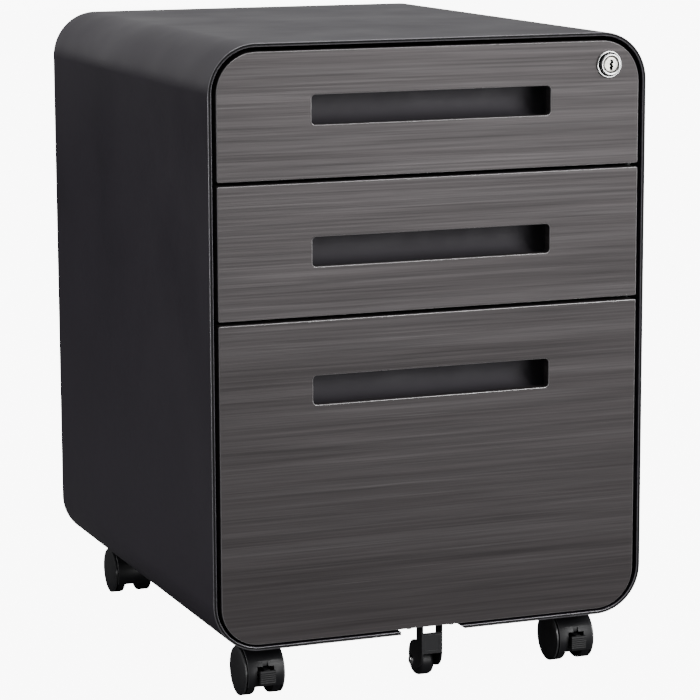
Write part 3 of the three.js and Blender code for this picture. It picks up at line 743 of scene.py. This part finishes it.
def make_tip_axle():
    """Rivet with a domed head on each side."""
    head = [(0.02, -2.0), (1.6, -1.9), (3.1, -1.5), (4.1, -0.8), (4.5, 0.0)]
    profile = [(r, EAR_LEFT + x) for r, x in head] + [(RIVET_R, EAR_LEFT)]
    profile += [(RIVET_R, EAR_RIGHT)] + [(r, EAR_RIGHT - x) for r, x in reversed(head)]
    bm = bmesh.new()
    lathe(bm, profile, (0, TIP_Y, TIP_Z), "x", 32)
    axle = finish_mesh(bm, "tip_axle", CHROME, 40)
    place(axle, "drawer_file", "zinc_steel", "anti_tip_axle")


def make_tip_wheel():
    """Wheel with a crowned tread, bored for the rivet."""
    half, crown = TIP_WHEEL_HALF, TIP_WHEEL_CROWN
    bore, shoulder = 2.55, TIP_R - 3.6
    profile = [(bore, -half), (shoulder, -half)] + arc(TIP_R - crown, crown - half, crown, -77, 0, 9)
    profile += arc(TIP_R - crown, half - crown, crown, 0, 77, 9) + [(shoulder, half), (bore, half)]
    bm = bmesh.new()
    lathe(bm, profile, (EAR_MIDDLE, TIP_Y, TIP_Z), "x", 56, closed=True)
    wheel = finish_mesh(bm, "tip_wheel", CASTER, 50)
    place(wheel, "anti_tip_wheel", "caster_plastic", "anti_tip_wheel")


make_tip_bracket()
make_tip_axle()
make_tip_wheel()

# ---------------------------------------------------------------- casters

TRAIL = 14.0
WHEEL_R = 20.95
WHEEL_STEPS = 56
GUARD_R = 22.6
GUARD_HALF = 15.6
CORE_R = 22.2
CORE_HALF = 7.2
HOOD_FLOOR = 11.0
HOOD_STEPS = 56
COLLAR_TOP = 46.5
SOCKET_R = 4.25
SOCKET_FLOOR = 18.0
STEM_R = 3.9
STEM_TOP = 60.0


def axle_of(label):
    return middle_of(f"caster_wheel_{label}_a")[1:]


def make_caster_wheel(label, which):
    """Nylon wheel with a groove outboard of the hood, a rim painted pale as a highlight and a domed outer face."""
    low, high = box_of(f"caster_wheel_{label}_{which}")
    middle = middle_of(f"caster_hood_{label}")[0]
    y, z = axle_of(label)
    sign = 1 if (low.x + high.x) / 2 > middle else -1
    inner, reach = sorted((abs(low.x - middle), abs(high.x - middle)))
    r = WHEEL_R
    flange = GUARD_HALF + 1.5
    profile = [(3.3, inner + 9), (3.3, inner), (r - 1.4, inner), (r - 0.4, inner + 0.4), (r, inner + 1.4)]
    profile += [(r, GUARD_HALF - 0.8), (r - 3.0, GUARD_HALF - 0.4)]
    profile += [(r - 3.0, flange - 0.3), (r - 0.4, flange), (r, flange + 0.4)]
    profile += arc(r - 0.9, reach - 2.4, 0.9, 0, 70, 5)
    profile += [(r - 1.6, reach - 1.25), (r - 2.4, reach - 1.0), (r - 4, reach - 0.7)]
    profile += [(r - 8, reach - 0.3), (r - 13, reach - 0.08), (0.02, reach)]
    bm = bmesh.new()
    lathe(bm, [(radius, sign * along) for radius, along in profile], (middle, y, z), "x", WHEEL_STEPS, phase=0.5)
    wheel = finish_mesh(bm, f"wheel_{label}_{which}", CASTER, 35)

    def on_rim(centre, _):
        return math.hypot(centre.y - y, centre.z - z) > r - 0.95 and abs(centre.x - middle) > reach - 2.3

    # Painted highlight: the wheel's rounded rim gets the paler caster colour, for the bright arc along it.
    paint_faces(wheel, CASTER_HIGHLIGHT, on_rim)
    place(wheel, f"wheel_{label}_{which}", "caster_plastic", f"caster_wheel_{label}_{which}")


def caster_place(label):
    """Maps a caster's own coordinates to the frame's: the swivel axis is u = v = 0 and the axle is at v = -TRAIL."""
    middle = middle_of(f"caster_hood_{label}")[0]
    y, z = axle_of(label)
    turn = 1 if label.startswith("front") else -1
    return (lambda u, v, w: (middle + turn * u, y + turn * (TRAIL + v), w)), z


def turned(at, profile, steps):
    """Rings of a (radius, height) profile turned about a caster's swivel axis."""
    turns = [math.tau * i / steps for i in range(steps)]
    return [[at(r * math.cos(a), r * math.sin(a), w) for a in turns] for r, w in profile]


def bar_tool(at, outline, half):
    """An outline of (v, w) points, extruded across a caster, as a tool object."""
    bm = bmesh.new()
    skin(bm, [[at(u, v, w) for v, w in outline] for u in (-half, half)])
    return tool_object(bm)


def turned_tool(at, profile, steps, closed=False):
    bm = bmesh.new()
    skin(bm, turned(at, profile, steps), closed)
    return tool_object(bm)


# Where a braked hood is cut open for its lever: half width, the far end's v and the cut's two heights.
BRAKE_CUTS = ((2.4, -19.2, 14, 33.5), (7.4, -20.6, 10, 28.4), (7.2, -9, 19, 28.4))


def make_hood(label, braked):
    """Hood with a mudguard over both treads, a middle web between the wheels and a socket for the stem."""
    at, axle_z = caster_place(label)
    drop = math.degrees(math.asin((axle_z - HOOD_FLOOR) / GUARD_R))
    turns = [math.radians(-drop + (180 + 2 * drop) * i / HOOD_STEPS) for i in range(HOOD_STEPS + 1)]
    section = [(GUARD_HALF - 0.45, 21.75), (GUARD_HALF, 21.95)]
    section += [(GUARD_HALF, 22.3), (GUARD_HALF - 0.12, 22.48), (GUARD_HALF - 0.4, GUARD_R)]
    section += [(-u, r) for u, r in reversed(section)]
    bm = bmesh.new()
    skin(bm, [[at(u, -TRAIL - r * math.cos(a), axle_z + r * math.sin(a)) for u, r in section] for a in turns])
    hood = finish_mesh(bm, f"hood_{label}", CASTER, 35)
    core = bar_tool(at, [(-TRAIL - CORE_R * math.cos(a), axle_z + CORE_R * math.sin(a)) for a in turns], CORE_HALF)
    collar = [(7.1, SOCKET_FLOOR), (7.1, 37.0), (8.0, 39.6), (9.6, 41.4), (11.0, 42.4), (11.0, 45.9)]
    collar += [(10.5, COLLAR_TOP), (SOCKET_R, COLLAR_TOP), (SOCKET_R, SOCKET_FLOOR)]
    socket = turned_tool(at, collar, 40, closed=True)
    cuts = [turned_tool(at, [(SOCKET_R, SOCKET_FLOOR), (SOCKET_R, STEM_TOP)], 40)]
    for half, far, w0, w1 in BRAKE_CUTS if braked else ():
        v0, v1 = -TRAIL - 24, -TRAIL + far
        bm = bmesh.new()
        skin(bm, [[at(-half, v0, w), at(half, v0, w), at(half, v1, w), at(-half, v1, w)] for w in (w0, w1)])
        cuts.append(tool_object(bm))
    carve(hood, *cuts, join=(core, socket))
    middle, axle_y, _ = at(0, -TRAIL, 0)

    def on_guard_edge(centre, _):
        outside = math.hypot(centre.y - axle_y, centre.z - axle_z) > 21.8
        return outside and abs(centre.x - middle) > GUARD_HALF - 0.45

    # Painted highlight: the mudguard's outer edges get the paler caster colour, for the bright arcs along them.
    paint_faces(hood, CASTER_HIGHLIGHT, on_guard_edge)
    soften(hood, 0.25, 40)
    place(hood, f"caster_{label}", "caster_plastic", f"caster_hood_{label}")


def make_stem(label):
    """Stem with a washer under the base and a hexagon nut above it."""
    at, _ = caster_place(label)
    profile = [(0.01, 26.0), (3.4, 26.0), (STEM_R, 26.6), (STEM_R, 46.8), (8.6, 46.8), (9.0, 47.0)]
    profile += [(9.0, 47.5), (8.7, 47.7), (4.0, 47.7), (4.0, 50.6)]
    bm = bmesh.new()
    skin(bm, turned(at, profile, 36))
    stem = finish_mesh(bm, f"stem_{label}", ZINC, 40)
    nut = turned_tool(at, [(6.6, 50.6), (6.6, 57.0)], 6)
    shaft = turned_tool(at, [(STEM_R, 50.0), (STEM_R, STEM_TOP)], 36)
    carve(stem, join=(nut, shaft))
    soften(stem, 0.25, 40)
    place(stem, "cabinet", "zinc_steel", f"caster_stem_{label}")


LEVER_RIBS = 6
LEVER_HALF = 6.8
LEVER_ARM_HALF = 2.3


def make_lever(hand):
    """Foot tab with level ribs across its face, on a flat arm."""
    at, _ = caster_place(f"front_{hand}")
    low, high = box_of(f"brake_lever_{hand}")
    face = -TRAIL - 28
    outline = [(face + 3.6, high.z - 1.2), (face + 3.2, high.z - 0.8)]
    outline += [(face + 0.9, high.z - 0.4), (face + 0.3, high.z - 0.9)]
    pitch = (high.z - low.z - 3.0) / LEVER_RIBS
    for i in range(LEVER_RIBS):
        w = high.z - 1.4 - i * pitch
        outline += [(face + 0.25, w), (face + 0.05, w - 0.3 * pitch)]
        outline += [(face + 0.05, w - 0.7 * pitch), (face + 0.25, w - pitch)]
    outline += [(face + 0.4, low.z + 0.6), (face + 1.0, low.z), (face + 3.2, low.z), (face + 3.6, low.z + 0.4)]
    bm = bmesh.new()
    skin(bm, [[at(u, v, w) for v, w in outline] for u in (-LEVER_HALF, LEVER_HALF)])
    lever = finish_mesh(bm, f"lever_{hand}", LEVER, 30)
    arm = ((face + 2, 21), (-TRAIL - 11, 21), (-TRAIL - 11, 26.5), (face + 2, 26.5))
    carve(lever, join=(bar_tool(at, arm, LEVER_ARM_HALF),))
    soften(lever, 0.3, 50)
    place(lever, f"brake_{hand}", "lever_plastic", f"brake_lever_{hand}")


for end in ("front", "rear"):
    for hand in HANDS:
        for which in "ab":
            make_caster_wheel(f"{end}_{hand}", which)
for end in ("front", "rear"):
    for hand in HANDS:
        make_hood(f"{end}_{hand}", end == "front")
        make_stem(f"{end}_{hand}")
for hand in HANDS:
    make_lever(hand)

# ---------------------------------------------------------------- the frame's own pieces

CAD_BEVEL = 0.35
FINISH = {
    "shell_paint": SHELL_PAINT,
    "front_film": FRONT_FILM,
    "inner_paint": INNER_PAINT,
    "zinc_steel": ZINC,
    "chrome": CHROME,
    "pocket_plastic": POCKET,
    "tray_plastic": TRAY,
    "lever_plastic": LEVER,
    "caster_plastic": CASTER,
}
for part in frame["record"]["subparts"]:
    node = frame["nodes"][part["node"]]
    node.data.materials.clear()
    node.data.materials.append(FINISH[part["material_slot"]])
    if not node.hide_render:
        soften(node, CAD_BEVEL)

# ---------------------------------------------------------------- studio

FLOOR_HALF = 9


def make_floor():
    bm = bmesh.new()
    signs = ((-1, -1), (1, -1), (1, 1), (-1, 1))
    bm.faces.new([bm.verts.new((FLOOR_HALF * x, FLOOR_HALF * y, 0)) for x, y in signs])
    floor = finish_mesh(bm, "studio_floor", floor_paint())


make_floor()


def area_light(name, place_at, aim, size, power):
    """Rectangular light at one point, turned to another. Metres and watts."""
    data = bpy.data.lights.new(name, "AREA")
    data.shape = "RECTANGLE"
    data.size, data.size_y = size
    data.energy = power
    obj = bpy.data.objects.new(name, data)
    bpy.context.scene.collection.objects.link(obj)
    obj.location = place_at
    obj.rotation_euler = (Vector(aim) - Vector(place_at)).to_track_quat("-Z", "Y").to_euler()


area_light("key", (0.95, -1.7, 1.0), (0.0, -0.2, 0.35), (0.8, 0.8), 18)
area_light("overhead", (0.0, 0.1, 1.9), (0.0, 0.0, 0.5), (1.4, 1.4), 13)
area_light("low_fill", (1.0, -3.0, 0.16), (0.0, 0.0, 0.25), (1.4, 0.3), 15)
area_light("back_card", (0.1, 2.5, 1.2), (0.0, 0.0, 0.55), (3.6, 1.3), 4.3)
area_light("left_strip", (-1.4, 0.2, 0.26), (-0.2, -0.2, 0.3), (0.7, 0.48), 5.0)
area_light("right_strip", (1.5, -0.45, 0.26), (0.0, -0.26, 0.3), (0.7, 0.48), 2.4)

WORLD_LIGHT = 0.22
WORLD_SEEN = 9.5  # how bright the background is to the camera alone

world = bpy.data.worlds.new("studio")
bpy.context.scene.world = world
world.use_nodes = True
world_tree = world.node_tree
background = world_tree.nodes["Background"]
background.inputs["Color"].default_value = (1.0, 1.0, 1.0, 1.0)
seen = world_tree.nodes.new("ShaderNodeLightPath").outputs["Is Camera Ray"]
level_of = world_tree.nodes.new("ShaderNodeMapRange")
level_of.inputs["To Min"].default_value = WORLD_LIGHT
level_of.inputs["To Max"].default_value = WORLD_SEEN
world_tree.links.new(seen, level_of.inputs["Value"])
world_tree.links.new(level_of.outputs["Result"], background.inputs["Strength"])

# ---------------------------------------------------------------- camera

VIEW_AZIMUTH = math.radians(-21.317)
VIEW_ELEVATION = math.radians(10.015)
VIEW_ROLL = math.radians(-0.217)
VIEW_DISTANCE = 2.7049
VIEW_TARGET = Vector((0.0138, 0.0025, 0.25289))
SENSOR = 36.0
LENS = 153.57086

forward = Vector((
    -math.sin(VIEW_AZIMUTH) * math.cos(VIEW_ELEVATION),
    math.cos(VIEW_AZIMUTH) * math.cos(VIEW_ELEVATION),
    -math.sin(VIEW_ELEVATION),
))
level = Vector((math.cos(VIEW_AZIMUTH), math.sin(VIEW_AZIMUTH), 0.0))
upward = level.cross(forward)
right = level * math.cos(VIEW_ROLL) + upward * math.sin(VIEW_ROLL)
up = upward * math.cos(VIEW_ROLL) - level * math.sin(VIEW_ROLL)
camera_data = bpy.data.cameras.new("camera")
camera_data.sensor_width = SENSOR
camera_data.lens = LENS
camera = bpy.data.objects.new("camera", camera_data)
bpy.context.scene.collection.objects.link(camera)
turn = Matrix((right, up, -forward)).transposed().to_4x4()
camera.matrix_world = Matrix.Translation(VIEW_TARGET - forward * VIEW_DISTANCE) @ turn
bpy.context.scene.camera = camera
